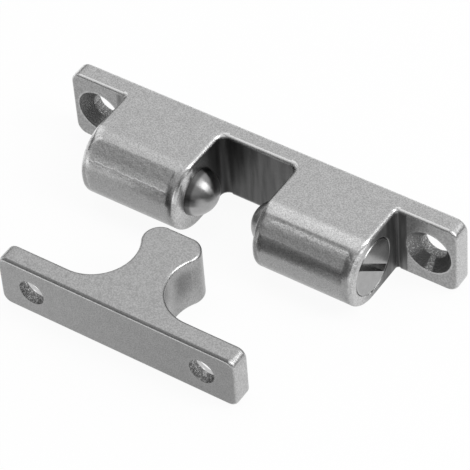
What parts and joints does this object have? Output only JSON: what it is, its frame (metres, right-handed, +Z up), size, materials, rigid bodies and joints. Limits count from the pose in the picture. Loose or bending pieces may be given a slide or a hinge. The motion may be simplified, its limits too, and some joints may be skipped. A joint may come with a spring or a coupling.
{
  "type": "double ball catch",
  "caption": "Cast steel housing with sprung balls that face each other across a gap, and a separate tongued strike that snaps in between them to hold a cabinet door shut.",
  "frame": {"origin": "middle of the two screw holes, on the housing's mounting face", "axes": "+X along the housing to the right seen from the front, +Y out of the housing's mounting face towards what it is screwed to, +Z up across its narrow height; the strike lies in front, towards -Y"},
  "size_m": [0.06, 0.0333, 0.011],
  "materials": {
    "casting": "tumbled satin casting",
    "ball": "ground and polished",
    "spring_wire": "drawn wire",
    "turned_screw": "turned, satin"
  },
  "bodies": {
    "housing": {"housing": "casting"},
    "left_ball": {"left_ball": "ball"},
    "right_ball": {"right_ball": "ball"},
    "left_spring": {"left_spring": "spring_wire"},
    "right_spring": {"right_spring": "spring_wire"},
    "left_adjusting_screw": {"left_adjusting_screw": "turned_screw"},
    "right_adjusting_screw": {"right_adjusting_screw": "turned_screw"},
    "strike": {"strike": "casting"}
  },
  "joints": [
    {"name": "left_ball_slide", "type": "slide", "parent": "housing", "child": "left_ball", "axis": [-1, 0, 0], "range_m": [0, 0.0025], "stiffness_N_per_m": 5000, "deforming": ["left_spring"]},
    {"name": "left_screw_advance", "type": "slide", "parent": "housing", "child": "left_spring", "axis": [1, 0, 0], "range_m": [-0.0008, 0.0012]},
    {"name": "left_screw_turn", "type": "hinge", "parent": "left_spring", "child": "left_adjusting_screw", "pos_m": [-0.01875, -0.0085, 0], "axis": [1, 0, 0], "range_deg": [-361, 541]},
    {"name": "right_ball_slide", "type": "slide", "parent": "housing", "child": "right_ball", "axis": [1, 0, 0], "range_m": [0, 0.0025], "stiffness_N_per_m": 5000, "deforming": ["right_spring"]},
    {"name": "right_screw_advance", "type": "slide", "parent": "housing", "child": "right_spring", "axis": [-1, 0, 0], "range_m": [-0.0008, 0.0012]},
    {"name": "right_screw_turn", "type": "hinge", "parent": "right_spring", "child": "right_adjusting_screw", "pos_m": [0.01875, -0.0085, 0], "axis": [-1, 0, 0], "range_deg": [-361, 541]},
    {"name": "strike_slide", "type": "slide", "parent": "housing", "child": "strike", "axis": [0.2437, 0.9698, 0], "range_m": [0, 0.008]}
  ],
  "couplings": [
    {"joint": "left_screw_turn", "follows": "left_screw_advance", "rad_per_m": 7854},
    {"joint": "right_screw_turn", "follows": "right_screw_advance", "rad_per_m": 7854}
  ]
}
